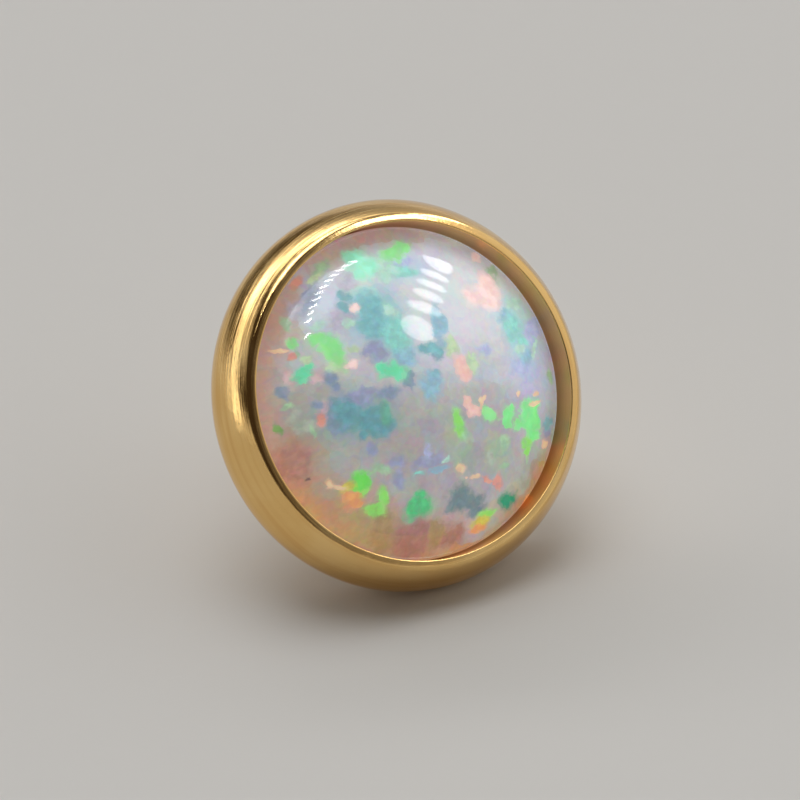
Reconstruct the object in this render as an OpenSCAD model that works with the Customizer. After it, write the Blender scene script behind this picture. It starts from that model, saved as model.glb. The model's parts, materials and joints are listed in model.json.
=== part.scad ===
// Top for a dermal anchor: a domed opal set in a round gold cup, with a post
// at the back that screws into the anchor. It lies as it does when it is put
// down unworn, on the tip of its post and the bulge of its cup.
// Millimetres, +Z up, the face looks towards -Y. The origin is the middle of
// the part's outline on the surface that it lies on.
// Each piece is drawn upright about its own axis, with the cup's back at
// height 0, and resting() then lays it down.

/* [Stone] */
// Diameter of the stone across its straight edge
stone_d = 4.0; // [3.9:0.01:4.02]
// Height of the dome above the straight edge
dome_h = 0.82; // [0.5:0.01:1.1]
// Height of the straight edge
edge_h = 0.47; // [0.3:0.01:0.47]
// Bevel round the stone's flat back
back_bevel = 0.06; // [0.02:0.01:0.15]

/* [Cup] */
// Largest diameter of the cup, across its bulge
cup_d = 4.7; // [4.66:0.01:5]
// Diameter of the bore that holds the stone
bore_d = 4.04; // [4.02:0.01:4.08]
// Thickness of the cup's floor
floor_t = 0.4; // [0.38:0.01:0.42]
// Height of the bulge's middle above the back
bulge_z = 0.7; // [0.65:0.01:0.8]
// Radius of the bulge's curve
bulge_r = 0.425; // [0.38:0.005:0.46]
// Radius of the flank's long curve, from the bulge up to the lip
flank_r = 1.2; // [1:0.05:1.35]
// Radius of the curve over the lip
lip_r = 0.09; // [0.07:0.005:0.1]
// Flat that turns down into the bore at the lip's inner edge
lip_break = 0.015; // [0.01:0.005:0.03]
// Rounding where the underside meets the flat back
foot_r = 0.1; // [0.05:0.01:0.15]

/* [Post] */
// Diameter of the post, over the crests of its thread
post_d = 1.2; // [1.1:0.01:1.2]
// Length of the post behind the cup's back
post_l = 2.0; // [1.8:0.05:2.5]
// Bevel round the post's tip, along and across
tip_bevel = 0.12; // [0.08:0.01:0.2]
// Length of the bare neck between the thread and the cup's back
neck_l = 0.15; // [0.1:0.01:0.3]
// Diameter of the neck and of the tenon that it ends in
neck_d = 0.88; // [0.8:0.01:0.89]
// Length of the tenon inside the cup's floor
tenon_l = 0.24; // [0.15:0.01:0.27]
// Depth of the countersink round the neck, in the cup's back
sink_h = 0.08; // [0.05:0.01:0.12]

/* [Fits] */
// Gap between the stone's straight edge and the cup's floor
stone_gap = 0.02; // [0.01:0.005:0.03]
// Gap round the tenon and past its end, where it is pressed into the cup
press_gap = 0.01; // [0.005:0.005:0.015]

/* [Hidden] */
// Where the curves of the cup's side meet, in degrees above its widest line
UNDER_A = -50;
FLANK_A = 15;
LIP_A = 36.5;
// Steps along each curve of the cup's side
FOOT_STEPS = 4;
BULGE_STEPS = 8;
FLANK_STEPS = 4;
LIP_STEPS = 6;
SIDES = 128;
// The cup's seam is turned upwards, away from the surface that it lies on
SEAM_A = 120;

stone_r = stone_d / 2;
stone_z = floor_t + stone_gap;
girdle_z = stone_z + edge_h;
// Ball that the dome is cut from
dome_r = (stone_r * stone_r + dome_h * dome_h) / (2 * dome_h);

bulge_c = [cup_d / 2 - bulge_r, bulge_z];
flank_c = bulge_c - (flank_r - bulge_r) * heading(FLANK_A);
lip_c = flank_c + (flank_r - lip_r) * heading(LIP_A);
lip_z = lip_c[1] + lip_r;
// The straight underside runs from the bulge down to the foot's small curve,
// square to the same radius of both
foot_start = bulge_c + (bulge_r - foot_r) * heading(UNDER_A);
foot_c = [foot_start[0] + (foot_start[1] - foot_r) * tan(UNDER_A), foot_r];

post_r = post_d / 2;
tip_r = post_r - tip_bevel;
neck_r = neck_d / 2;
// The countersink's mouth just lets the thread through
sink_r = post_r + press_gap;
socket_r = neck_r + press_gap;
socket_z = tenon_l + press_gap;

// A surface under the part touches the post where its tip's bevel starts, and
// the cup's bulge. Seen from the side it runs from that corner to the bulge.
bevel_corner = [post_r, tip_bevel - post_l];
corner_to_bulge = bulge_c - bevel_corner;
rest_tilt = atan2(corner_to_bulge[1], corner_to_bulge[0])
    - asin(bulge_r / norm(corner_to_bulge));
lowest = -bevel_corner[0] * sin(rest_tilt) + bevel_corner[1] * cos(rest_tilt);
// How far the part reaches to the back, at its tip, and to the front, at its lip
reach_back = tip_r * cos(rest_tilt) + post_l * sin(rest_tilt);
reach_front = lip_c[0] * cos(rest_tilt) + lip_c[1] * sin(rest_tilt) + lip_r;

// The unit vector at an angle above the outward direction
function heading(a) = [cos(a), sin(a)];

// Points along an arc, both ends included
function arc(c, r, from, to, steps) =
    [for (i = [0 : steps]) c + r * heading(from + (to - from) * i / steps)];

module resting() {
    translate([0, (reach_front - reach_back) / 2, -lowest])
        rotate([rest_tilt, 0, 0])
            children();
}

// The domed stone: a cap of a ball on a short straight edge, bevelled below
module opal_cabochon() {
    color([0.80, 0.78, 0.80])
        resting()
            intersection() {
                translate([0, 0, girdle_z + dome_h - dome_r])
                    sphere(r = dome_r, $fn = SIDES);
                rotate_extrude($fn = SIDES)
                    polygon([
                        [0, stone_z],
                        [stone_r - back_bevel, stone_z],
                        [stone_r, stone_z + back_bevel],
                        [stone_r, girdle_z + dome_h],
                        [0, girdle_z + dome_h]
                    ]);
            }
}

// Half of the cup's section. It starts with the post's socket and countersink.
// The side is three arcs that run into each other: the bulge, the long flank
// above it and the lip.
module cup_section() {
    polygon(concat(
        [[0, socket_z], [socket_r, socket_z], [socket_r, sink_h], [sink_r, 0]],
        arc(foot_c, foot_r, -90, UNDER_A, FOOT_STEPS),
        arc(bulge_c, bulge_r, UNDER_A, FLANK_A, BULGE_STEPS),
        arc(flank_c, flank_r, FLANK_A, LIP_A, FLANK_STEPS),
        arc(lip_c, lip_r, LIP_A, 90, LIP_STEPS),
        [
            [bore_d / 2 + lip_break, lip_z],
            [bore_d / 2, lip_z - lip_break],
            [bore_d / 2, floor_t],
            [0, floor_t]
        ]
    ));
}

// The cup that grips the stone, with a socket in its back for the post
module bezel_cup() {
    color([0.83, 0.62, 0.30])
        resting()
            rotate([0, 0, SEAM_A])
                rotate_extrude($fn = SIDES)
                    cup_section();
}

// The post: the thread drawn plain at the size of its crests, then the neck,
// which runs into the cup's floor as a tenon
module threaded_post() {
    color([0.80, 0.60, 0.30])
        resting()
            rotate_extrude($fn = SIDES)
                polygon([
                    [0, -post_l],
                    [tip_r, -post_l],
                    bevel_corner,
                    [post_r, -neck_l],
                    [neck_r, -neck_l],
                    [neck_r, tenon_l],
                    [0, tenon_l]
                ]);
}

opal_cabochon();
bezel_cup();
threaded_post();
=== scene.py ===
"""The looks of a dermal anchor's opal top, lying unworn on a pale board."""

import json
import math

import bpy
from mathutils import Matrix, Vector


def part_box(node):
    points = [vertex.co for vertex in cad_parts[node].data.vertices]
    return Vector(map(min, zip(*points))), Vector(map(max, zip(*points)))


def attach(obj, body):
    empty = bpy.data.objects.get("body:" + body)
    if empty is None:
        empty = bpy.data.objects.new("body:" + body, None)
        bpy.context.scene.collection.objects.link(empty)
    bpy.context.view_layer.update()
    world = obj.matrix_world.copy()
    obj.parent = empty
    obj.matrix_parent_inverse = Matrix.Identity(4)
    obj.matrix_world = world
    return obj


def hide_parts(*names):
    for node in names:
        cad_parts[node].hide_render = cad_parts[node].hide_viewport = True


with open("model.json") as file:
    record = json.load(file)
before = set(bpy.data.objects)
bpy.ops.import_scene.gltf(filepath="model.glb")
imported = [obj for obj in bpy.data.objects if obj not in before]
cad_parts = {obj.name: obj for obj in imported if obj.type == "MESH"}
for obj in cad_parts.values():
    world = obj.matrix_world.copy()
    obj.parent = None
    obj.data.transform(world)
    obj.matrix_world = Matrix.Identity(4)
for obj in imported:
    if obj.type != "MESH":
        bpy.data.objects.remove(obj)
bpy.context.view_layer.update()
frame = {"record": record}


# How the part lies: on the bulge of its cup and the tip of its post.
# Each piece is turned upright about the post's axis, in millimetres, with the cup's back at
# height 0, and its mesh is then laid down where the frame has that axis.
MM = 0.001
mounts = {m["name"]: m for m in frame["record"]["mounts"]}
face_way = -Vector(mounts["post"]["axis"]).normalized()
on_axis = Vector(mounts["post"]["pos_m"])
seat = Vector(mounts["back_seat"]["pos_m"])
back_middle = on_axis + (seat - on_axis).dot(face_way) * face_way
side_way = Vector((1, 0, 0))
up_the_face = face_way.cross(side_way)
rest_tilt = math.atan2(up_the_face.z, up_the_face.y)
lie_down = (
    Matrix.Translation(back_middle)
    @ Matrix((side_way, up_the_face, face_way)).transposed().to_4x4()
    @ Matrix.Scale(MM, 4)
)


def width_of(node):
    """Width of a CAD node across the part, in mm, which is the diameter of a turned one."""
    low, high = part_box(node)
    return (high[0] - low[0]) / MM


# The cup: a bezel turned from surgical steel, plated with gold and polished all over.
# Its side is three curves that run into each other, the bulge, the flank and the lip, and its
# back has a countersunk socket for the post.
cup_d = width_of("bezel_cup")
bore_d = 4.04
floor_t = 0.4
bulge_z = 0.7
bulge_r = 0.425
flank_r = 1.2
lip_r = 0.09
foot_r = 0.1
neck_d = 0.88
post_d = width_of("threaded_post")
press_gap = 0.01
socket_depth = 0.25
countersink = 0.08
# How far each corner is broken, in mm
socket_break = 0.01
lip_break = 0.024
floor_fillet = 0.03
# Where the curves of the side meet, in degrees above the cup's widest line
UNDER_A = -50
FLANK_A = 15
LIP_A = 36.5
LIP_END_A = 78
# Points closer than this are welded, in mm
WELD = 1e-5
ROUND_SIDES = 256


def heading(degrees):
    """The unit vector at an angle above the outward direction."""
    return Vector((math.cos(math.radians(degrees)), math.sin(math.radians(degrees))))


def arc(centre, radius, start, end, steps):
    """Points along an arc in a section, both ends included."""
    return [centre + radius * heading(start + (end - start) * i / steps) for i in range(steps + 1)]


def eased(before, corner, after, rounding, steps=4):
    """A corner of a section with its edge broken: a short curve between two points that hold it."""
    hold = 1.6 * rounding
    to_before = (before - corner).normalized()
    to_after = (after - corner).normalized()
    points = [corner + hold * to_before]
    for i in range(steps + 1):
        t = i / steps
        along = rounding * ((1 - t) ** 2 * to_before + t ** 2 * to_after)
        points.append(corner + along)
    points.append(corner + hold * to_after)
    return points


def rounded_line(corners):
    """A section's line through corners, each (radius, height, edge break) in mm."""
    places = [Vector(c[:2]) for c in corners]
    line = [places[0]]
    for i in range(1, len(corners) - 1):
        line += eased(places[i - 1], places[i], places[i + 1], corners[i][2])
    return line + [places[-1]]


def cup_section():
    """Half of the cup's section, from the socket's end round the outside to the floor."""
    bulge_c = Vector((cup_d / 2 - bulge_r, bulge_z))
    flank_c = bulge_c - (flank_r - bulge_r) * heading(FLANK_A)
    lip_c = flank_c + (flank_r - lip_r) * heading(LIP_A)
    foot_start = bulge_c + (bulge_r - foot_r) * heading(UNDER_A)
    slope = math.tan(math.radians(UNDER_A))
    foot_c = Vector((foot_start.x + (foot_start.y - foot_r) * slope, foot_r))
    lip_end = lip_c + lip_r * heading(LIP_END_A)
    edge_z = lip_end.y + (lip_end.x - bore_d / 2) / math.tan(math.radians(LIP_END_A))
    socket_r = neck_d / 2 + press_gap
    sink_r = post_d / 2 + press_gap
    socket = rounded_line([
        (0, socket_depth, 0),
        (socket_r, socket_depth, socket_break),
        (socket_r, countersink, socket_break),
        (sink_r, 0, socket_break),
        (foot_c.x, 0, 0),
    ])
    side = (
        arc(foot_c, foot_r, -90, UNDER_A, steps=8)[1:]
        + arc(bulge_c, bulge_r, UNDER_A, FLANK_A, steps=28)
        + arc(flank_c, flank_r, FLANK_A, LIP_A, steps=24)[1:]
        + arc(lip_c, lip_r, LIP_A, LIP_END_A, steps=12)[1:]
    )
    bore = rounded_line([
        (lip_end.x, lip_end.y, 0),
        (bore_d / 2, edge_z, lip_break),
        (bore_d / 2, floor_t, floor_fillet),
        (0, floor_t, 0),
    ])
    return socket + side + bore[1:]


class Tree:
    """A Geometry Nodes tree under construction."""

    def __init__(self, name, sizes):
        self.tree = bpy.data.node_groups.new(name, "GeometryNodeTree")
        sockets = self.tree.interface
        sockets.new_socket("Geometry", in_out="INPUT", socket_type="NodeSocketGeometry")
        for size, kind in sizes.items():
            sockets.new_socket(size, in_out="INPUT", socket_type=f"NodeSocket{kind}")
        sockets.new_socket("Geometry", in_out="OUTPUT", socket_type="NodeSocketGeometry")
        self.inputs = self.tree.nodes.new("NodeGroupInput").outputs

    def add(self, kind, inputs, **settings):
        """Adds a node with its settings, values and links, and returns its outputs."""
        node = self.tree.nodes.new(kind)
        for name, value in settings.items():
            setattr(node, name, value)
        for name, value in inputs.items():
            if isinstance(value, bpy.types.NodeSocket):
                self.tree.links.new(value, node.inputs[name])
            else:
                node.inputs[name].default_value = value
        return node.outputs

    def maths(self, operation, *values):
        """Adds a Math node and returns its result."""
        return self.add("ShaderNodeMath", dict(enumerate(values)), operation=operation)[0]

    def finish(self, geometry):
        """Ends the tree in Realize Instances and Set Material."""
        real = self.add("GeometryNodeRealizeInstances", {"Geometry": geometry})[0]
        smooth = self.add("GeometryNodeSetShadeSmooth", {"Geometry": real})[0]
        made = self.add(
            "GeometryNodeSetMaterial", {"Geometry": smooth, "Material": self.inputs["Material"]}
        )[0]
        self.add("NodeGroupOutput", {"Geometry": made})
        return self.tree


def lathe_tree():
    """Turns a section, a line of points in the XZ plane, once round the Z axis."""
    lathe = Tree("turn on the lathe", {"Sides": "Int", "Weld": "Float", "Material": "Material"})
    section = lathe.inputs["Geometry"]
    points = lathe.add("GeometryNodeAttributeDomainSize", {"Geometry": section})["Point Count"]
    grid = lathe.add("GeometryNodeMeshGrid", {
        "Size X": 1.0,
        "Size Y": 1.0,
        "Vertices X": points,
        "Vertices Y": lathe.maths("ADD", lathe.inputs["Sides"], 1),
    })["Mesh"]
    here = lathe.add("ShaderNodeSeparateXYZ", {
        "Vector": lathe.add("GeometryNodeInputPosition", {})[0]
    })
    share = lathe.maths("ADD", here["X"], 0.5)
    row = lathe.maths("ROUND", lathe.maths("MULTIPLY", share, lathe.maths("SUBTRACT", points, 1)))
    # Every section runs from the bottom to the top, so the turn goes clockwise to face outwards
    angle = lathe.maths("MULTIPLY", lathe.maths("ADD", here["Y"], 0.5), -math.tau)
    on_section = lathe.add("GeometryNodeSampleIndex", {
        "Geometry": section,
        "Value": lathe.add("GeometryNodeInputPosition", {})[0],
        "Index": row,
    }, data_type="FLOAT_VECTOR", domain="POINT")["Value"]
    place = lathe.add("ShaderNodeSeparateXYZ", {"Vector": on_section})
    turned = lathe.add("ShaderNodeCombineXYZ", {
        "X": lathe.maths("MULTIPLY", place["X"], lathe.maths("COSINE", angle)),
        "Y": lathe.maths("MULTIPLY", place["X"], lathe.maths("SINE", angle)),
        "Z": place["Z"],
    })[0]
    shaped = lathe.add("GeometryNodeSetPosition", {"Geometry": grid, "Position": turned})[0]
    return lathe.finish(lathe.add("GeometryNodeMergeByDistance", {
        "Geometry": shaped,
        "Distance": lathe.inputs["Weld"],
    })[0])


def run_tree(piece, tree, values):
    """Puts a tree on a piece as a modifier, with its inputs set by identifier."""
    modifier = piece.modifiers.new(tree.name, "NODES")
    modifier.node_group = tree
    for socket in tree.interface.items_tree:
        if socket.in_out == "INPUT" and socket.name in values:
            modifier[socket.identifier] = values[socket.name]


def turned_piece(name, section, material, sides, trees=()):
    """Turns a section into a piece, shapes it with further trees and lays it down."""
    line = bpy.data.meshes.new(name)
    corners = [(p.x, 0, p.y) for p in section]
    line.from_pydata(corners, [(i, i + 1) for i in range(len(corners) - 1)], [])
    piece = bpy.data.objects.new(name, line)
    bpy.context.scene.collection.objects.link(piece)
    run_tree(piece, lathe, {"Sides": sides, "Weld": WELD, "Material": material})
    for tree, values in trees:
        run_tree(piece, tree, {**values, "Material": material})
    graph = bpy.context.evaluated_depsgraph_get()
    solid = bpy.data.meshes.new_from_object(piece.evaluated_get(graph))
    piece.modifiers.clear()
    solid.name = name
    piece.data = solid
    solid.transform(lie_down)
    return piece


class Wire:
    """A socket in a material. Its operators add the Math nodes that they stand for."""

    def __init__(self, socket):
        self.socket = socket

    def add(self, kind, inputs, out=0, **settings):
        """Adds a node, its settings first and then its values and links, and returns an output."""
        tree = self.socket.id_data
        node = tree.nodes.new(kind)
        for name, value in settings.items():
            setattr(node, name, value)
        for name, value in inputs.items():
            if isinstance(value, Wire):
                tree.links.new(value.socket, node.inputs[name])
            else:
                node.inputs[name].default_value = value
        return Wire(node.outputs[out])

    def maths(self, operation, *values):
        """Adds a Math node on this wire and the values, and returns its result."""
        return self.add("ShaderNodeMath", dict(enumerate((self, *values))), operation=operation)

    def __add__(self, other):
        return self.maths("ADD", other)

    __radd__ = __add__

    def __sub__(self, other):
        return self.maths("SUBTRACT", other)

    def __rsub__(self, other):
        return (self * -1) + other

    def __mul__(self, other):
        return self.maths("MULTIPLY", other)

    __rmul__ = __mul__

    def rise(self, low, high):
        """0 below low and 1 above high, smooth between them. It falls where low is over high."""
        inputs = {"Value": self, "From Min": low, "From Max": high}
        return self.add("ShaderNodeMapRange", inputs, interpolation_type="SMOOTHSTEP", clamp=False)

    def blend(self, first, second):
        """A colour that goes from the first to the second as this wire goes from 0 to 1."""
        # A Mix node's sockets go by number: 0 is its factor, 4 and 5 mix vectors, 6 and 7 colours
        return self.add("ShaderNodeMix", {0: self, 6: first, 7: second}, 2, data_type="RGBA")

    def bump(self, depth):
        """The normal of a surface that is as high as this wire says, times the depth in metres."""
        return self.add("ShaderNodeBump", {"Strength": 1.0, "Distance": depth, "Height": self})

    def blend_in(self, colour, strength):
        """A colour shifted softly by this wire's colour."""
        inputs = {0: strength, 6: colour, 7: self}
        return self.add("ShaderNodeMix", inputs, 2, data_type="RGBA", blend_type="SOFT_LIGHT")

    def noise(self, per_mm, detail, out="Fac"):
        """Cloudy noise at this place, with so many clouds to the millimetre."""
        inputs = {"Vector": self, "Scale": per_mm, "Detail": detail}
        return self.add("ShaderNodeTexNoise", inputs, out)


def new_finish(name):
    """A new material, its shader, and the place on an upright piece in mm."""
    material = bpy.data.materials.new(name)
    material.use_nodes = True
    nodes = material.node_tree.nodes
    place = Wire(nodes.new("ShaderNodeTexCoord").outputs["Object"])
    upright = place.add("ShaderNodeMapping", {
        "Vector": place,
        "Location": back_middle,
        "Rotation": (rest_tilt, 0, 0),
        "Scale": (MM, MM, MM),
    }, vector_type="TEXTURE")
    return material, nodes["Principled BSDF"], upright


def connect(shader, name, wire):
    """Leads a wire into one of the shader's sockets."""
    wire.socket.id_data.links.new(wire.socket, shader.inputs[name])


def srgb(red, green, blue):
    """A colour as it looks on a screen, 0 to 255, in Blender's linear values."""
    def linear(value):
        value /= 255
        return value / 12.92 if value <= 0.04045 else ((value + 0.055) / 1.055) ** 2.4
    return (linear(red), linear(green), linear(blue), 1.0)


def round_the_axis(upright):
    """Distance from the axis, height, and a vector that runs once round without a seam."""
    parts = upright.add("ShaderNodeSeparateXYZ", {"Vector": upright}).socket.node.outputs
    x, y, height = (Wire(parts[axis]) for axis in "XYZ")
    flat = upright.add("ShaderNodeCombineXYZ", {"X": x, "Y": y})
    radius = flat.add("ShaderNodeVectorMath", {0: flat}, "Value", operation="LENGTH")
    way = flat.add("ShaderNodeVectorMath", {0: flat}, operation="NORMALIZE")
    return radius, height, way


def lathe_marks(radius, height, way, per_mm, once_round):
    """Noise drawn out round the axis, as a polishing wheel leaves it on a turned piece."""
    parts = way.add("ShaderNodeSeparateXYZ", {"Vector": way}).socket.node.outputs
    stretched = way.add("ShaderNodeCombineXYZ", {
        "X": Wire(parts["X"]) * once_round,
        "Y": Wire(parts["Y"]) * once_round,
        "Z": radius * per_mm,
    })
    return way.add("ShaderNodeTexNoise", {
        "Vector": stretched,
        "W": height * per_mm,
        "Scale": 1.0,
        "Detail": 3.0,
        "Roughness": 0.6,
    }, noise_dimensions="4D")


def polished_gold():
    """Polished gold plate: bright, with fine marks round the axis and a few small dents."""
    material, shader, upright = new_finish("polished gold plate")
    radius, height, way = round_the_axis(upright)
    fine = lathe_marks(radius, height, way, per_mm=45.0, once_round=2.5)
    broad = lathe_marks(radius, height, way, per_mm=12.0, once_round=1.2)
    cloudy = upright.noise(1.3, 3.0)
    dents = upright.noise(7.0, 3.0)
    gold = cloudy.rise(0.35, 0.7).blend(srgb(236, 194, 124), srgb(243, 205, 138))
    gold = (broad.rise(0.45, 0.7) * 0.5).blend(gold, srgb(222, 174, 104))
    # Down in the bore the gold is made rougher, and its colour is painted darker and browner
    # towards the stone: painted shade and reflection in the recess
    bore_top = 1.22
    stone_line = 0.85
    in_the_bore = radius.rise(bore_d / 2 + 0.02, bore_d / 2) * height.rise(floor_t - 0.1, floor_t)
    bore_gold_shaded = height.rise(stone_line, bore_top).blend(srgb(190, 146, 88), srgb(238, 192, 122))
    connect(shader, "Base Color", (in_the_bore * 0.9).blend(gold, bore_gold_shaded))
    worn = 0.10 + 0.14 * fine.rise(0.45, 0.75) + 0.07 * cloudy.rise(0.4, 0.7)
    connect(shader, "Roughness", worn + 0.26 * in_the_bore)
    shader.inputs["Metallic"].default_value = 1.0
    marks = fine * 0.7 + broad * 2.4 + dents * 1.4
    connect(shader, "Normal", marks.bump(0.0018 * MM))
    return material


lathe = lathe_tree()
cup = turned_piece("bezel_cup_gold", cup_section(), polished_gold(), ROUND_SIDES)
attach(cup, "root")
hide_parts("bezel_cup")


# The stone: a domed cabochon of synthetic opal, cut with a flat bevelled back and glued in.
# Milky white with a rose and tan rim, it shows mottled patches of green, teal and coral with
# ragged edges, under a glassy polish.
stone_d = width_of("opal_cabochon")
dome_h = 0.82
edge_h = 0.47
back_bevel = 0.06
stone_gap = 0.02
# How far the edges of the back and of the dome are broken, in mm
back_break = 0.012
dome_break = 0.025
# The angle that the dome's broken edge takes up, in degrees
DOME_EDGE_A = 0.6
# The dome is part of a ball of this radius
dome_ball = ((stone_d / 2) ** 2 + dome_h ** 2) / (2 * dome_h)


def stone_section():
    """Half of the stone's section, from the middle of its flat back to the top of its dome."""
    radius = stone_d / 2
    base = floor_t + stone_gap
    girdle = base + edge_h
    ball_c = Vector((0, girdle + dome_h - dome_ball))
    edge_a = math.degrees(math.asin((girdle - ball_c.y) / dome_ball))
    dome = arc(ball_c, dome_ball, edge_a + DOME_EDGE_A, 90, steps=64)
    back = rounded_line([
        (0, base, 0),
        (radius - back_bevel, base, back_break),
        (radius, base + back_bevel, back_break),
        (radius, girdle, dome_break),
        tuple(dome[0]) + (0,),
    ])
    return back[:-1] + dome


# The milky body, laid from the first colour to the last: soft ovals on the face, each
# (across, up, width, height, turn in degrees), in mm from the middle. Its tones also hold painted
# light:
# the whiter ovals over the upper right are a painted sheen of light reflected off the dome and
# falling from the right, and the body is painted lighter at the top and darker below, as the light
# falls.
CLOUDS_AND_SHEEN = {
    (199, 207, 213): [(-0.35, 1.15, 1.7, 1.3, 25), (0.1, 0.7, 1.2, 1.0, 0)],
    (212, 216, 220): [(0.75, 0.9, 1.7, 1.5, 0), (1.35, 0.5, 1.1, 1.5, 0)],
    (188, 193, 213): [(1.5, -0.2, 1.0, 0.9, 0)],
    (173, 169, 174): [(0.4, -0.8, 1.7, 0.9, 0), (-0.3, -0.6, 1.5, 0.8, 0)],
    (168, 167, 160): [(-1.45, 0.05, 0.7, 0.8, 0)],
    (150, 196, 202): [(-0.33, 0.95, 0.60, 0.80, 10)],
    (140, 172, 184): [(-0.95, -0.08, 0.75, 0.50, -20)],
    (168, 186, 166): [(0.20, -0.75, 0.25, 0.55, 5), (0.75, -0.95, 0.35, 0.45, 0)],
    (170, 208, 213): [(1.50, 0.35, 0.55, 0.75, 0)],
    (196, 204, 222): [(0.35, 1.45, 0.9, 0.35, 0), (-0.85, 1.25, 0.5, 0.4, 30)],
    (190, 163, 157): [
        (0.0, 1.95, 2.6, 0.45, 0), (-1.55, 1.15, 0.5, 1.5, -40), (-1.87, 0.3, 0.4, 1.5, 0),
    ],
    (190, 150, 138): [(-1.72, -0.5, 0.55, 0.9, 10), (-0.5, -1.78, 1.3, 0.5, 10)],
    (188, 157, 130): [(-1.3, -1.2, 0.75, 1.5, 45), (1.2, -1.62, 1.3, 0.45, 35)],
    (178, 158, 130): [(-0.87, -1.5, 0.6, 0.5, 0)],
    (202, 162, 122): [
        (-1.72, -0.95, 0.26, 0.9, 30), (0.1, -1.98, 2.0, 0.2, 3), (1.5, -1.33, 0.2, 0.8, -42),
    ],
}

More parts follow.
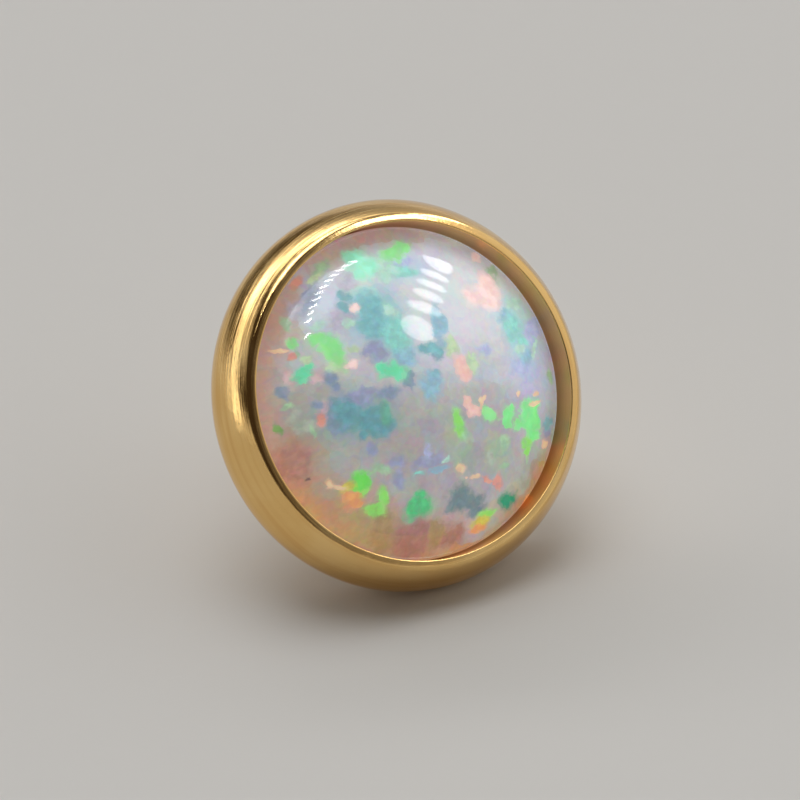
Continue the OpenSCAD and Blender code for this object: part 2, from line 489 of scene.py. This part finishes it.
# Flashes of colour, set in the same way, with ragged little edges
FLASHES = {
    (166, 125, 119): [(-0.50, -1.69, 0.48, 0.34, 0), (-0.02, -1.80, 0.30, 0.20, 0)],
    (168, 145, 110): [(-0.87, -1.50, 0.22, 0.50, 0), (-0.20, -1.70, 0.16, 0.26, 0)],
    (180, 138, 127): [(-1.70, -0.42, 0.34, 0.42, 0)],
    (170, 180, 168): [
        (-1.52, 0.02, 0.20, 0.26, 0), (0.60, -1.02, 0.16, 0.20, 0), (1.10, -1.42, 0.20, 0.16, 0),
        (1.72, -0.98, 0.12, 0.15, 0),
    ],
    (180, 178, 194): [
        (-0.72, 1.05, 0.26, 0.30, 0), (-1.12, 1.28, 0.16, 0.20, 0), (-0.45, 1.45, 0.22, 0.16, 0),
    ],
    (206, 180, 184): [
        (-1.25, 0.05, 0.12, 0.24, 0), (-1.22, 0.45, 0.14, 0.16, 0), (-1.50, 0.55, 0.10, 0.22, 0),
    ],
    (156, 162, 190): [
        (-0.52, 0.58, 0.25, 0.20, 0), (-0.85, 0.13, 0.45, 0.15, 0), (-0.22, -0.85, 0.35, 0.14, 0),
        (-0.86, -0.52, 0.10, 0.16, 0), (1.62, -0.92, 0.14, 0.10, 0), (-0.92, 1.47, 0.30, 0.07, 35),
        (-1.07, -0.15, 0.10, 0.06, 0), (-0.60, -0.75, 0.18, 0.12, 0), (-0.62, -0.95, 0.12, 0.20, 0),
    ],
    (180, 189, 224): [
        (0.27, 1.48, 0.26, 0.11, 10), (0.87, 0.24, 0.18, 0.16, 0), (1.80, 0.32, 0.30, 0.20, 0),
        (1.66, 0.20, 0.14, 0.14, 0), (-0.22, -0.73, 0.08, 0.12, 0), (1.38, -0.10, 0.30, 0.16, 0),
    ],
    (140, 157, 178): [
        (-1.09, 0.42, 0.11, 0.18, 0), (-1.07, 0.30, 0.10, 0.10, 0), (-1.61, 0.38, 0.14, 0.14, 0),
        (-1.31, 0.16, 0.10, 0.09, 0), (-0.95, 1.35, 0.32, 0.10, 40), (-1.17, -0.05, 0.20, 0.25, 0),
        (-1.22, -0.16, 0.07, 0.08, 0), (0.22, 0.35, 0.12, 0.12, 0), (-0.52, 0.07, 0.25, 0.12, 0),
        (-0.22, 0.13, 0.14, 0.14, 0),
    ],
    (114, 166, 175): [
        (-1.05, -0.02, 0.22, 0.30, 0), (-0.82, -0.15, 0.37, 0.26, 0), (-0.73, -0.28, 0.30, 0.20, 0),
        (-0.57, 1.28, 0.15, 0.17, 0), (-0.64, 1.19, 0.12, 0.12, 0), (0.05, 0.45, 0.09, 0.09, 0),
        (-0.92, -0.33, 0.10, 0.10, 0),
    ],
    (118, 140, 148): [
        (0.12, -1.38, 0.32, 0.22, 0), (0.30, -1.48, 0.32, 0.20, 0), (0.34, -1.57, 0.20, 0.12, 0),
    ],
    (132, 186, 194): [
        (-0.38, 1.10, 0.30, 0.28, 0), (-0.42, 0.85, 0.27, 0.24, 0), (0.17, 0.45, 0.32, 0.14, 0),
        (0.24, 0.38, 0.10, 0.16, 0), (0.10, 0.12, 0.12, 0.10, 0), (1.66, -0.82, 0.22, 0.13, 0),
    ],
    (148, 188, 206): [
        (0.38, 0.72, 0.13, 0.40, -15), (0.02, 0.00, 0.24, 0.28, -20), (1.38, 0.55, 0.22, 0.13, 0),
        (-0.20, 0.45, 0.25, 0.28, 0), (-0.12, -0.97, 0.26, 0.06, 0), (1.50, 0.02, 0.20, 0.12, 20),
    ],
    (146, 211, 203): [
        (-0.20, 0.72, 0.25, 0.36, 0), (1.43, 0.42, 0.20, 0.28, 0), (1.50, 0.22, 0.18, 0.13, 0),
        (0.22, 1.38, 0.36, 0.12, -15), (-0.37, -0.95, 0.10, 0.05, 0), (1.33, 0.30, 0.12, 0.14, 0),
    ],
    (184, 220, 206): [
        (0.00, 1.50, 0.32, 0.32, 0), (1.68, 0.08, 0.22, 0.05, 45), (1.42, 0.13, 0.15, 0.10, 0),
        (-0.15, 0.98, 0.12, 0.14, 0), (0.00, -0.88, 0.08, 0.05, 0), (-1.00, 1.05, 0.16, 0.09, 20),
        (1.60, 0.66, 0.26, 0.11, 0), (-0.68, 0.98, 0.12, 0.10, 0),
    ],
    (152, 236, 202): [(-0.22, 1.62, 0.27, 0.30, 0), (-0.28, 1.50, 0.12, 0.16, 0)],
    (118, 224, 176): [
        (-0.40, 0.30, 0.31, 0.18, -40), (-0.50, 0.39, 0.14, 0.10, 0), (-1.37, 0.55, 0.19, 0.14, 0),
        (-1.27, 0.62, 0.09, 0.08, 0),
    ],
    (116, 176, 160): [(-0.62, -0.17, 0.12, 0.26, 0)],
    (165, 198, 167): [
        (-1.62, 0.24, 0.13, 0.06, 0), (-0.65, 1.70, 0.22, 0.10, 25), (0.85, -0.88, 0.12, 0.14, 0),
        (0.80, -1.15, 0.11, 0.05, 0), (1.85, -0.30, 0.09, 0.16, 0), (-1.31, 1.17, 0.09, 0.17, 0),
        (-1.44, -0.12, 0.04, 0.15, 0), (1.50, 1.10, 0.14, 0.16, 0), (0.30, -0.65, 0.07, 0.15, 0),
        (-1.33, 0.80, 0.07, 0.08, 0), (1.18, -1.15, 0.06, 0.08, 0), (-0.80, -0.77, 0.20, 0.10, -35),
    ],
    (192, 214, 178): [
        (-0.98, 0.57, 0.22, 0.18, 0), (0.43, 0.38, 0.13, 0.20, 0), (0.63, 0.12, 0.14, 0.17, 0),
        (-0.75, 0.67, 0.10, 0.08, 0), (-0.78, 1.60, 0.20, 0.06, 30), (-1.27, 0.70, 0.11, 0.09, 0),
    ],
    (148, 232, 152): [
        (-0.96, 0.75, 0.20, 0.31, 0), (-1.07, 0.90, 0.20, 0.12, 0), (-1.33, 0.93, 0.11, 0.11, 0),
        (0.28, 1.64, 0.38, 0.15, 15), (0.40, 1.68, 0.20, 0.12, 0), (0.70, -0.52, 0.18, 0.12, -30),
        (0.64, -0.46, 0.10, 0.09, 0),
    ],
    (134, 242, 148): [
        (0.96, -0.62, 0.21, 0.16, 0), (1.05, -0.52, 0.08, 0.10, 0), (1.32, -0.62, 0.26, 0.20, 0),
        (1.20, -0.74, 0.22, 0.13, -10), (1.33, -0.87, 0.20, 0.17, 0), (1.42, -0.68, 0.13, 0.25, 0),
        (1.10, -0.70, 0.10, 0.08, 0), (1.32, -0.75, 0.26, 0.18, 0), (1.43, -0.58, 0.16, 0.10, 20),
    ],
    (146, 230, 116): [
        (0.24, -0.50, 0.11, 0.28, 0), (1.20, -0.97, 0.15, 0.11, 0), (1.18, -1.06, 0.09, 0.10, 0),
        (-0.92, -1.22, 0.22, 0.12, -25), (-0.82, -1.10, 0.11, 0.20, 0),
        (-1.05, -0.97, 0.12, 0.12, 0), (0.50, -1.64, 0.22, 0.09, 0),
    ],
    (118, 226, 100): [(-1.05, -0.82, 0.19, 0.20, 0), (-0.99, -0.86, 0.10, 0.14, 0)],
    (130, 172, 112): [(-1.77, 0.00, 0.06, 0.13, 0)],
    (92, 198, 134): [(-0.42, -1.33, 0.26, 0.26, 0), (-0.38, -1.20, 0.14, 0.12, 0)],
    (46, 156, 126): [(0.85, -1.54, 0.25, 0.18, -20)],
    (206, 200, 98): [(-1.20, -0.87, 0.15, 0.10, 0), (0.40, -1.72, 0.23, 0.10, 0)],
    (238, 168, 112): [
        (-1.17, -1.02, 0.22, 0.18, -40), (0.38, -1.79, 0.22, 0.07, 0),
        (1.17, -1.62, 0.17, 0.07, 30), (-1.12, -1.10, 0.12, 0.09, 0),
    ],
    (236, 202, 168): [
        (-1.50, 0.90, 0.16, 0.05, -20), (-1.38, -0.78, 0.06, 0.09, 0),
        (-1.29, -0.85, 0.16, 0.05, -30), (0.62, -0.36, 0.05, 0.09, 0),
        (1.45, -0.55, 0.20, 0.05, 0), (0.17, -1.04, 0.11, 0.08, 0), (0.24, -1.15, 0.04, 0.03, 0),
        (0.37, -1.18, 0.12, 0.05, -15), (1.19, -0.38, 0.06, 0.06, 0), (1.53, -1.05, 0.08, 0.08, 0),
        (0.66, -0.31, 0.05, 0.06, 0), (1.50, -0.42, 0.10, 0.04, 0),
    ],
    (241, 195, 186): [
        (0.47, 0.10, 0.17, 0.23, 0), (0.50, 0.00, 0.13, 0.12, 0), (0.48, -0.37, 0.13, 0.20, 25),
        (0.42, -0.29, 0.08, 0.12, 0), (0.53, -0.45, 0.10, 0.10, 0),
    ],
    (220, 158, 145): [
        (-0.98, 1.60, 0.17, 0.07, 35), (0.66, -1.34, 0.13, 0.13, 0), (0.53, -1.25, 0.14, 0.04, -30),
        (-1.39, 0.79, 0.08, 0.08, 0), (-1.32, -0.02, 0.10, 0.13, 0),
    ],
    (250, 216, 212): [
        (1.03, 0.87, 0.28, 0.20, 0), (1.28, 0.93, 0.26, 0.30, 0), (1.37, 1.02, 0.12, 0.12, 0),
        (1.22, 0.74, 0.26, 0.18, 0), (-0.53, 1.13, 0.09, 0.09, 0), (1.35, 1.33, 0.12, 0.08, 0),
        (-0.81, 0.50, 0.12, 0.08, 0),
    ],
    (122, 98, 98): [(-1.58, -0.65, 0.05, 0.03, 0)],
}


def painted(face, ovals, soft, halo=0.0, fine=None, swell=1.0):
    """1 inside the ovals and 0 outside. The edge's softness is a share of an oval's half width,
    and halo is the share of the colour that fades out round it. Narrow ovals are read from fine,
    and swell scales them all."""
    reach = 1.8
    narrow = 0.13
    nearest = None
    for across, up, width, height, turn in ovals:
        place = fine if fine and min(width, height) < narrow else face
        oval = place.add("ShaderNodeMapping", {
            "Vector": place,
            "Location": (across, up, 0),
            "Rotation": (0, 0, math.radians(turn)),
            "Scale": (swell * reach * width / 2, swell * reach * height / 2, 1),
        }, vector_type="TEXTURE")
        near = oval.add("ShaderNodeTexGradient", {"Vector": oval}, "Fac", gradient_type="SPHERICAL")
        nearest = near if nearest is None else nearest.maths("MAXIMUM", near)
    inside = nearest.rise(1 - (1 + soft) / reach, 1 - (1 - soft) / reach)
    return inside * (1 - halo) + nearest.rise(0, 0.5) * halo if halo else inside


def in_cells(face, per_mm, share):
    """Draws each place on the face part of the way to the middle of its cell in the mosaic."""
    cells = face.add("ShaderNodeTexVoronoi", {
        "Vector": face,
        "Scale": per_mm,
        "Randomness": 0.9,
    }, "Position", voronoi_dimensions="2D")
    return face.add("ShaderNodeMix", {0: share, 4: face, 5: cells}, 1, data_type="VECTOR")


def wandered(face, per_mm, reach):
    """The place on the face, pushed about by noise so that what is drawn there has ragged edges."""
    noise = face.noise(per_mm, 3.0, "Color")
    push = noise.add("ShaderNodeVectorMath", {0: noise, 1: (0.5, 0.5, 0.5)}, operation="SUBTRACT")
    inputs = {0: push, 1: (reach, reach, 0), 2: face}
    return push.add("ShaderNodeVectorMath", inputs, operation="MULTIPLY_ADD")


def tiled(colour, face, per_mm, strength):
    """Shifts a colour a little from one cell of a mosaic to the next."""
    tiles = face.add("ShaderNodeTexVoronoi", {
        "Vector": face,
        "Scale": per_mm,
        "Smoothness": 0.3,
    }, "Color", voronoi_dimensions="2D", feature="SMOOTH_F1")
    return tiles.blend_in(colour, strength)


def dimmed(tint, level):
    """A screen colour with its light turned down, or up where the level is over 1."""
    red, green, blue, alpha = srgb(*tint)
    return (red * level, green * level, blue * level, alpha)


def opal():
    """Synthetic opal under a glassy polish."""
    material, shader, upright = new_finish("synthetic opal")
    parts = upright.add("ShaderNodeSeparateXYZ", {"Vector": upright}).socket.node.outputs
    face = upright.add("ShaderNodeCombineXYZ", {"X": Wire(parts["X"]), "Y": Wire(parts["Y"])})
    # Three ways to rag an edge: for narrow flashes, for the others, and for the soft clouds
    fine = in_cells(wandered(face, per_mm=9.0, reach=0.12), per_mm=34.0, share=0.35)
    mosaic = in_cells(wandered(face, per_mm=5.5, reach=0.30), per_mm=28.0, share=0.5)
    milky = in_cells(wandered(face, per_mm=2.2, reach=0.30), per_mm=5.0, share=0.35)
    colour = milky.noise(1.3, 3.0).rise(0.3, 0.7).blend(srgb(176, 174, 176), srgb(188, 190, 193))
    # The body's tones, with a painted sheen over the upper right and painted shade below
    for tint, ovals in CLOUDS_AND_SHEEN.items():
        colour = painted(milky, ovals, soft=0.75).blend(colour, srgb(*tint))
    # The mosaic of the opal's little columns, in three sizes, and a cloudy veil and grain
    colour = tiled(colour, mosaic, per_mm=4.0, strength=0.11)
    colour = tiled(colour, mosaic, per_mm=8.5, strength=0.09)
    colour = face.noise(3.5, 5.0, "Color").blend_in(colour, 0.28)
    # Each flash is mottled: the body shows through it in places, and its colour goes up and down
    mottled = face.noise(8.0, 3.0)
    share = mottled.rise(0.3, 0.55) * 0.22 + 0.8
    bright = mottled.rise(0.35, 0.7)
    for tint, ovals in FLASHES.items():
        flash = bright.blend(dimmed(tint, 0.92), dimmed(tint, 1.13))
        flash_mask = painted(mosaic, ovals, soft=0.42, halo=0.22, fine=fine, swell=1.1)
        colour = (flash_mask * share).blend(colour, flash)
    colour = face.noise(14.0, 4.0, "Color").blend_in(colour, 0.2)
    colour = tiled(colour, mosaic, per_mm=19.0, strength=0.06)
    connect(shader, "Base Color", colour)
    # The stone also glows with its own colours: painted light that brightens it, in shade too, as
    # though lit from within
    connect(shader, "Emission Color", colour)
    shader.inputs["Emission Strength"].default_value = 0.46
    shader.inputs["Subsurface Weight"].default_value = 0.25
    shader.inputs["Subsurface Radius"].default_value = (1.0, 0.85, 0.75)
    shader.inputs["Subsurface Scale"].default_value = 0.4 * MM
    shader.inputs["Roughness"].default_value = 0.05
    shader.inputs["IOR"].default_value = 1.45
    return material


stone = turned_piece("opal_stone", stone_section(), opal(), ROUND_SIDES)
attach(stone, "root")
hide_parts("opal_cabochon")


# The post: turned from the same plated steel, threaded to screw into the anchor.
# A bare neck runs from the thread into the cup, where it is pressed in as a tenon.
post_l = 2.0
tip_bevel = 0.12
neck_l = 0.15
tenon_l = 0.24
tenon_break = 0.02
thread_pitch = 0.25
thread_depth = 0.14
# Where the thread starts, as a share of a turn: a crest meets the board at the tip's bevel
thread_start = 0.27
# The thread's flanks, as shares of the way from the middle of its valley to its crest
VALLEY_END = 0.12
CREST_START = 0.86
POST_SIDES = 128


def straight(start, end, steps):
    """Points along a straight line in a section, without its end."""
    return [Vector(start).lerp(Vector(end), i / steps) for i in range(steps)]


def post_section():
    """Half of the post's section, with rows close enough along the thread to carry it."""
    crest = post_d / 2
    neck = neck_d / 2
    low = tip_bevel - post_l
    high = -neck_l
    end = straight((0, -post_l), (crest - tip_bevel, -post_l), steps=8)
    tip = straight((crest - tip_bevel, -post_l), (crest, low), steps=12)
    thread = straight((crest, low), (crest, high), steps=150)
    shoulder = straight((crest, high), (neck, high), steps=6)
    top = rounded_line([
        (neck, high, 0),
        (neck, tenon_l, tenon_break),
        (0, tenon_l, 0),
    ])
    return end + tip + thread + shoulder + top


def thread_tree():
    """Cuts a thread: the radius is held to a helix's valley where the piece is wider than it."""
    sizes = {name: "Float" for name in ("Pitch", "Depth", "Crest radius", "Start", "Weld")}
    thread = Tree("cut the thread", {**sizes, "Material": "Material"})
    here = thread.add("GeometryNodeInputPosition", {})[0]
    at = thread.add("ShaderNodeSeparateXYZ", {"Vector": here})
    turn = thread.maths("DIVIDE", thread.maths("ARCTAN2", at["Y"], at["X"]), math.tau)
    rise = thread.maths("DIVIDE", at["Z"], thread.inputs["Pitch"])
    along = thread.maths("SUBTRACT", thread.maths("ADD", rise, thread.inputs["Start"]), turn)
    from_middle = thread.maths("SUBTRACT", thread.maths("FRACT", along), 0.5)
    to_crest = thread.maths("MULTIPLY", thread.maths("ABSOLUTE", from_middle), 2.0)
    slope = thread.add("ShaderNodeMapRange", {
        "Value": to_crest,
        "From Min": VALLEY_END,
        "From Max": CREST_START,
        "To Min": 1.0,
        "To Max": 0.0,
    }, interpolation_type="LINEAR")[0]
    cut_depth = thread.maths("MULTIPLY", slope, thread.inputs["Depth"])
    valley = thread.maths("SUBTRACT", thread.inputs["Crest radius"], cut_depth)
    flat = thread.add("ShaderNodeCombineXYZ", {"X": at["X"], "Y": at["Y"]})[0]
    radius = thread.add("ShaderNodeVectorMath", {0: flat}, operation="LENGTH")["Value"]
    held = thread.maths("MINIMUM", radius, valley)
    way = thread.add("ShaderNodeVectorMath", {0: flat}, operation="NORMALIZE")[0]
    out = thread.add("ShaderNodeVectorMath", {0: way, "Scale": held}, operation="SCALE")[0]
    up = thread.add("ShaderNodeCombineXYZ", {"Z": at["Z"]})[0]
    place = thread.add("ShaderNodeVectorMath", {0: out, 1: up}, operation="ADD")[0]
    cut = thread.add("GeometryNodeSetPosition", {
        "Geometry": thread.inputs["Geometry"],
        "Position": place,
    })[0]
    return thread.finish(thread.add("GeometryNodeMergeByDistance", {
        "Geometry": cut,
        "Distance": thread.inputs["Weld"],
    })[0])


def satin_gold():
    """Gold plate as it leaves the threading tool: satin, with painted shade making it darker down
    in the thread.
    """
    material, shader, upright = new_finish("satin gold plate")
    radius, height, way = round_the_axis(upright)
    fine = lathe_marks(radius, height, way, per_mm=70.0, once_round=4.0)
    deep = radius.rise(post_d / 2, post_d / 2 - thread_depth)
    gold = fine.rise(0.35, 0.7).blend(srgb(226, 180, 106), srgb(206, 156, 84))
    # Painted shade: the colour is darker down in the thread's valleys
    connect(shader, "Base Color", (deep * 0.55).blend(gold, srgb(150, 100, 48)))
    connect(shader, "Roughness", 0.22 + 0.14 * fine.rise(0.3, 0.7) + 0.10 * deep)
    shader.inputs["Metallic"].default_value = 1.0
    connect(shader, "Normal", fine.bump(0.0006 * MM))
    return material


post = turned_piece("threaded_post_gold", post_section(), satin_gold(), POST_SIDES, [
    (thread_tree(), {
        "Pitch": thread_pitch,
        "Depth": thread_depth,
        "Crest radius": post_d / 2,
        "Start": thread_start,
        "Weld": WELD,
    }),
])
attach(post, "root")
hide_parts("threaded_post")


# The board that the part is put down on: flat, matt, pale and plain, and far larger than the
# part, so that its edge doesn't show.
BOARD_HALF = 400 * MM


def pale_board():
    """A matt off-white."""
    material, shader, _ = new_finish("pale board")
    shader.inputs["Base Color"].default_value = srgb(215, 213, 209)
    shader.inputs["Roughness"].default_value = 0.75
    shader.inputs["Specular IOR Level"].default_value = 0.3
    return material


board_mesh = bpy.data.meshes.new("board")
board_mesh.from_pydata(
    [(x * BOARD_HALF, y * BOARD_HALF, 0) for x, y in ((-1, -1), (1, -1), (1, 1), (-1, 1))],
    [],
    [(0, 1, 2, 3)],
)
board_mesh.materials.append(pale_board())
board = bpy.data.objects.new("board", board_mesh)
bpy.context.scene.collection.objects.link(board)


# The camera: a long close-up lens that looks down at the face from its left.
# It stands so far back that the part is seen almost without perspective.
CAMERA_AZIMUTH = -28.28
CAMERA_ELEVATION = 32.70
LENS_MM = 300
SENSOR_MM = 36
# The camera's square frame, and its scale at the part
FRAME_PX = 800
PX_PER_MM = 84.5
FRAME_HEIGHT = FRAME_PX / PX_PER_MM * MM
# The picture's middle, beside and below the middle of the lip
aim_left = 0.182 * MM
aim_below = 0.115 * MM
lip_z = 1.25
lip_middle = back_middle + lip_z * MM * face_way


def toward(azimuth, elevation):
    """The direction from the part to something, where azimuth 0 is straight in front of it."""
    a, e = math.radians(azimuth), math.radians(elevation)
    return Vector((math.sin(a) * math.cos(e), -math.cos(a) * math.cos(e), math.sin(e)))


camera_way = toward(CAMERA_AZIMUTH, CAMERA_ELEVATION)
right_way = -toward(CAMERA_AZIMUTH - 90, 0)
up_way = camera_way.cross(right_way)
lens = bpy.data.cameras.new("close-up lens")
lens.lens = LENS_MM
lens.sensor_width = SENSOR_MM
lens.clip_start = 1 * MM
camera = bpy.data.objects.new("camera", lens)
aim = lip_middle - aim_left * right_way - aim_below * up_way
camera_distance = FRAME_HEIGHT * LENS_MM / SENSOR_MM
camera.matrix_world = (
    Matrix.Translation(aim + camera_distance * camera_way)
    @ Matrix((right_way, up_way, camera_way)).transposed().to_4x4()
)
bpy.context.scene.collection.objects.link(camera)
bpy.context.scene.camera = camera


# The light: a broad soft light overhead, a strip behind the part and a dim wall of light to its
# right, in a dark warm room. A row of slats and two rows of small lamps show only as reflections,
# which step down the right of the dome and draw a broken streak on its left.
LAMP_DISTANCE = 150 * MM
ball_middle = back_middle + (floor_t + stone_gap + edge_h + dome_h - dome_ball) * MM * face_way


def mirrored(across, up):
    """Where the camera's ray from a place on the face, in mm, ends on the far ball of the lamps."""
    depth = math.sqrt(dome_ball ** 2 - across ** 2 - up ** 2)
    normal = (across * side_way + up * up_the_face + depth * face_way) / dome_ball
    spot = ball_middle + dome_ball * MM * normal
    ray = (camera.matrix_world.translation - spot).normalized()
    return spot + LAMP_DISTANCE * (2 * normal.dot(ray) * normal - ray)


def reflected_lamp(name, across, up, wide, tall, turn, brightness):
    """A lamp placed and sized so that the dome shows it at that place, in mm on the face."""
    along = wide / 2 * heading(turn)
    over = tall / 2 * heading(turn + 90)
    width = mirrored(across + along.x, up + along.y) - mirrored(across - along.x, up - along.y)
    height = mirrored(across + over.x, up + over.y) - mirrored(across - over.x, up - over.y)
    place = mirrored(across, up)
    way = (place - ball_middle).normalized()
    across_way = (width - width.dot(way) * way).normalized()
    lamp = bpy.data.lights.new(name, "AREA")
    lamp.shape = "ELLIPSE"
    lamp.size = width.length
    lamp.size_y = height.length
    lamp.energy = brightness * math.pi * lamp.size * lamp.size_y
    holder = bpy.data.objects.new(name, lamp)
    turned = Matrix((across_way, way.cross(across_way), way)).transposed().to_4x4()
    holder.matrix_world = Matrix.Translation(place) @ turned
    holder.visible_diffuse = False
    bpy.context.scene.collection.objects.link(holder)


# The slats' places on the face in mm: across, up, length, thickness, and turn in degrees
SLATS = [
    (0.09, 0.70, 0.37, 0.25, -35), (0.28, 0.91, 0.39, 0.115, -34), (0.40, 1.04, 0.35, 0.10, -36),
    (0.50, 1.15, 0.35, 0.075, -36), (0.61, 1.25, 0.33, 0.08, -36), (0.75, 1.39, 0.33, 0.21, -34),
]
# Each is a brighter lamp inside a larger one, which gives it a soft edge
SLAT_LAMPS = [(1.15, 5), (0.85, 7)]
for number, (across, up, wide, tall, turn) in enumerate(SLATS, start=1):
    for size, brightness in SLAT_LAMPS:
        reflected_lamp(f"slat {number}", across, up, wide * size, tall * size, turn, brightness)

# The broken streak: slanting lamps in a row that curves with the rim, with a gap before the last.
# Angles are in degrees round the face and from a lamp's own, and sizes in mm on the face.
STREAK_START = 99.5
STREAK_SPAN = 40.5
STREAK_SLANT = -113
# The row's distance from the middle at its start, and how it closes in, evenly and then faster
STREAK_RADIUS = 1.69
STREAK_CLOSING = 0.04
STREAK_CURL = 0.14
STREAK_LAMP = (0.12, 0.016)
STREAK_BRIGHTNESS = 26
STREAK_LAMPS = 13
for i in range(STREAK_LAMPS):
    share = i / (STREAK_LAMPS - 1)
    angle = STREAK_START + STREAK_SPAN * share
    radius = STREAK_RADIUS - STREAK_CLOSING * share - STREAK_CURL * share ** 2
    place = radius * heading(angle)
    slant = angle + STREAK_SLANT
    if i != STREAK_LAMPS - 2:
        reflected_lamp(f"streak lamp {i + 1}", *place, *STREAK_LAMP, slant, STREAK_BRIGHTNESS)

# A soft glow between the streak and the rim
GLOW_LAMPS = 4
GLOW_START = 118
GLOW_STEP = 8
GLOW_RADIUS = 1.84
GLOW_CLOSING = 0.05
GLOW_LAMP = (0.30, 0.05)
GLOW_BRIGHTNESS = 1.3
for i in range(GLOW_LAMPS):
    angle = GLOW_START + GLOW_STEP * i
    place = (GLOW_RADIUS - GLOW_CLOSING * i) * heading(angle)
    reflected_lamp(f"soft streak lamp {i + 1}", *place, *GLOW_LAMP, angle - 90, GLOW_BRIGHTNESS)

# Broad lights: a brightness, and soft ovals on the sky, each (azimuth, elevation, width, height,
# turn) in degrees
LIGHTS = [
    (1.0, [(190, 34, 105, 18, -6), (238, 17, 50, 12, -40)]),
    (4.5, [(168, 41, 56, 7, -5), (205, 32, 34, 7, -20)]),
    (1.9, [(234, 19, 36, 8, -38), (254, 5, 24, 7, -45)]),
    (0.8, [(84, 28, 122, 60, 0)]),
]
# The broad light overhead: its azimuth and elevation, and how far from its middle in degrees it
# starts to fade and is gone
OVERHEAD = (190, 76)
OVERHEAD_EDGES = (15, 29)
OVERHEAD_BRIGHTNESS = 2.6
# The azimuth where the sky's own angle runs out, away from every light
SEAM = 120


def white(brightness):
    """A plain light of this brightness."""
    return (brightness, brightness, brightness, 1)


world = bpy.data.worlds.new("studio")
world.use_nodes = True
way = Wire(world.node_tree.nodes.new("ShaderNodeTexCoord").outputs["Generated"])
turned = way.add("ShaderNodeMapping", {"Vector": way, "Rotation": (0, 0, math.radians(90 - SEAM))})
parts = turned.add("ShaderNodeSeparateXYZ", {"Vector": turned}).socket.node.outputs
azimuth = Wire(parts["Y"]).maths("ARCTAN2", Wire(parts["X"])) * math.degrees(1) + SEAM
elevation = Wire(parts["Z"]).maths("ARCSINE") * math.degrees(1)
sky = way.add("ShaderNodeCombineXYZ", {"X": azimuth, "Y": elevation})
room = Wire(parts["Z"]).rise(0.02, 0.25).blend(srgb(205, 203, 200), srgb(62, 53, 44))
to_overhead = way.add("ShaderNodeVectorMath", {
    0: way,
    1: toward(*OVERHEAD),
}, "Value", operation="DOT_PRODUCT")
full, faded = (math.cos(math.radians(angle)) for angle in OVERHEAD_EDGES)
room = to_overhead.rise(faded, full).blend(room, white(OVERHEAD_BRIGHTNESS))
for brightness, ovals in LIGHTS:
    room = painted(sky, ovals, soft=0.7).blend(room, white(brightness))
backdrop = world.node_tree.nodes["Background"]
world.node_tree.links.new(room.socket, backdrop.inputs["Color"])
bpy.context.scene.world = world
bpy.context.scene.view_settings.view_transform = "Standard"
